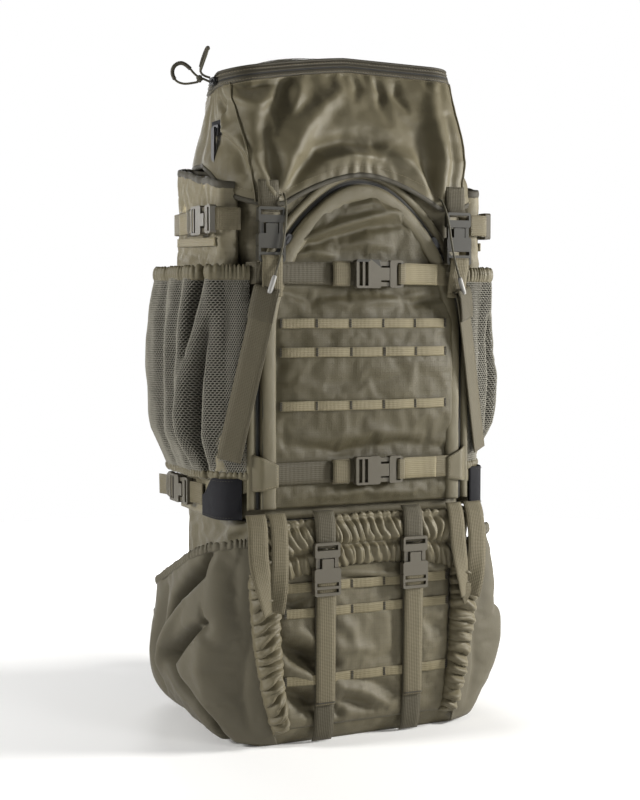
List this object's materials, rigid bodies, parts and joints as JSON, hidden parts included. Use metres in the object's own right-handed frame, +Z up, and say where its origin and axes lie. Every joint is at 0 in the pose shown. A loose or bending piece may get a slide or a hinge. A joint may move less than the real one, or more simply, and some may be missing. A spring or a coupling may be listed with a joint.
{
  "type": "hunting backpack",
  "caption": "Tall olive framed hunting backpack with a hinged top lid, arched front zip, mesh side pockets, base compartment, side-release buckles and padded harness.",
  "frame": {"origin": "on the flat base panel the pack stands on, below the middle of the bag", "axes": "+Z up, -Y the outer front face, +Y the harness side, -X the wearer's left"},
  "size_m": [0.392, 0.3122, 0.7328],
  "materials": {
    "pack_cloth": "plain nylon cloth with a coated back, soft folds, olive",
    "ripstop_cloth": "ripstop nylon with a small square grid, olive",
    "webbing": "ribbed nylon webbing, khaki",
    "mesh": "open stretch mesh, grey olive",
    "coated_patch": "smooth coated cloth, blue black",
    "buckle_plastic": "satin moulded plastic, grey olive",
    "zip_tape": "coated zip tape, near black",
    "zip_metal": "black lacquered zip slider",
    "cord": "braided cord, dark grey green",
    "harness_pad": "padded harness cloth with spacer mesh, olive",
    "frame_plastic": "black frame sheet",
    "stay_metal": "bare aluminium stays"
  },
  "bodies": {
    "root": {"anchor_patches": "coated_patch", "back_cover": "harness_pad", "back_pads": "harness_pad", "base_bag_shell": "pack_cloth", "base_front_cuff": "pack_cloth", "base_front_panel": "ripstop_cloth", "base_pocket_left": "pack_cloth", "base_pocket_right": "pack_cloth", "base_strap_webbing": "webbing", "compartment_divider": "pack_cloth", "cross_strap_webbing": "webbing", "diagonal_straps": "webbing", "frame_sheet": "frame_plastic", "frame_stays": "stay_metal", "front_buckle_sockets": "buckle_plastic", "front_panel": "ripstop_cloth", "front_zip_tape": "zip_tape", "gear_loops": "webbing", "lumbar_pad": "harness_pad", "main_bag_shell": "pack_cloth", "mesh_pocket_left": "mesh", "mesh_pocket_right": "mesh", "pals_webbing": "webbing", "side_buckle_sockets": "buckle_plastic", "side_sleeve_left": "pack_cloth", "side_sleeve_right": "pack_cloth", "side_strap_webbing": "webbing", "strap_anchor_webbing": "webbing"},
    "lid": {"lid_shell": "pack_cloth", "lid_webbing": "webbing", "lid_strap_plugs": "buckle_plastic", "lid_rim_zip": "zip_tape", "hem_cord_left": "cord", "hem_cord_right": "cord", "hem_cord_grips": "buckle_plastic"},
    "rim_slider": {"rim_slider": "zip_metal", "rim_pull_cord_a": "cord", "rim_pull_cord_b": "cord"},
    "port_slider": {"port_slider": "zip_metal"},
    "front_slider_left": {"front_slider_left": "zip_metal"},
    "front_slider_right": {"front_slider_right": "zip_metal"},
    "cross_plug_upper": {"cross_plug_upper": "buckle_plastic"},
    "cross_plug_lower": {"cross_plug_lower": "buckle_plastic"},
    "base_plug_left": {"base_plug_left": "buckle_plastic"},
    "base_plug_right": {"base_plug_right": "buckle_plastic"},
    "side_plug_upper_left": {"side_plug_upper_left": "buckle_plastic"},
    "side_plug_upper_right": {"side_plug_upper_right": "buckle_plastic"},
    "side_plug_lower_left": {"side_plug_lower_left": "buckle_plastic"},
    "side_plug_lower_right": {"side_plug_lower_right": "buckle_plastic"},
    "shoulder_left": {"shoulder_strap_left": "harness_pad", "strap_adjuster_left": "buckle_plastic", "sternum_socket": "buckle_plastic"},
    "shoulder_right": {"shoulder_strap_right": "harness_pad", "strap_adjuster_right": "buckle_plastic", "sternum_plug": "buckle_plastic"},
    "hip_left": {"hip_wing_left": "harness_pad", "hip_buckle_socket": "buckle_plastic"},
    "hip_right": {"hip_wing_right": "harness_pad", "hip_buckle_plug": "buckle_plastic"},
    "haul_handle": {"haul_handle": "webbing"}
  },
  "joints": [
    {"name": "lid_hinge", "type": "hinge", "parent": "root", "child": "lid", "pos_m": [0, 0.096, 0.601], "axis": [-1, 0, 0], "range_deg": [0, 100]},
    {"name": "rim_zip_slide", "type": "slide", "parent": "lid", "child": "rim_slider", "axis": [0, -1, 0], "range_m": [0, 0.025]},
    {"name": "port_zip_slide", "type": "slide", "parent": "lid", "child": "port_slider", "axis": [0, 1, 0], "range_m": [0, 0.035]},
    {"name": "front_zip_left", "type": "hinge", "parent": "root", "child": "front_slider_left", "pos_m": [0.066, -0.107, 0.426], "axis": [0, 1, 0], "range_deg": [-26, 16]},
    {"name": "front_zip_right", "type": "hinge", "parent": "root", "child": "front_slider_right", "pos_m": [-0.066, -0.107, 0.426], "axis": [0, -1, 0], "range_deg": [-26, 16]},
    {"name": "upper_buckle", "type": "slide", "parent": "root", "child": "cross_plug_upper", "axis": [1, 0, 0], "range_m": [0, 0.03]},
    {"name": "lower_buckle", "type": "slide", "parent": "root", "child": "cross_plug_lower", "axis": [1, 0, 0], "range_m": [0, 0.03]},
    {"name": "base_buckle_left", "type": "slide", "parent": "root", "child": "base_plug_left", "axis": [0, 0, 1], "range_m": [0, 0.03]},
    {"name": "base_buckle_right", "type": "slide", "parent": "root", "child": "base_plug_right", "axis": [0, 0, 1], "range_m": [0, 0.03]},
    {"name": "side_buckle_upper_left", "type": "slide", "parent": "root", "child": "side_plug_upper_left", "axis": [0, -1, 0], "range_m": [0, 0.03]},
    {"name": "side_buckle_upper_right", "type": "slide", "parent": "root", "child": "side_plug_upper_right", "axis": [0, -1, 0], "range_m": [0, 0.03]},
    {"name": "side_buckle_lower_left", "type": "slide", "parent": "root", "child": "side_plug_lower_left", "axis": [0, -1, 0], "range_m": [0, 0.027]},
    {"name": "side_buckle_lower_right", "type": "slide", "parent": "root", "child": "side_plug_lower_right", "axis": [0, -1, 0], "range_m": [0, 0.027]},
    {"name": "shoulder_strap_left", "type": "hinge", "parent": "root", "child": "shoulder_left", "pos_m": [-0.062, 0.098, 0.538], "axis": [1, 0, 0], "range_deg": [0, 30]},
    {"name": "shoulder_strap_right", "type": "hinge", "parent": "root", "child": "shoulder_right", "pos_m": [0.062, 0.098, 0.538], "axis": [1, 0, 0], "range_deg": [0, 30]},
    {"name": "hip_wing_left", "type": "hinge", "parent": "root", "child": "hip_left", "pos_m": [-0.104, 0.106, 0.088], "axis": [0, 0, 1], "range_deg": [0, 35]},
    {"name": "hip_wing_right", "type": "hinge", "parent": "root", "child": "hip_right", "pos_m": [0.104, 0.106, 0.088], "axis": [0, 0, -1], "range_deg": [0, 35]},
    {"name": "haul_handle_swing", "type": "hinge", "parent": "root", "child": "haul_handle", "pos_m": [0, 0.102, 0.578], "axis": [1, 0, 0], "range_deg": [0, 80]}
  ]
}
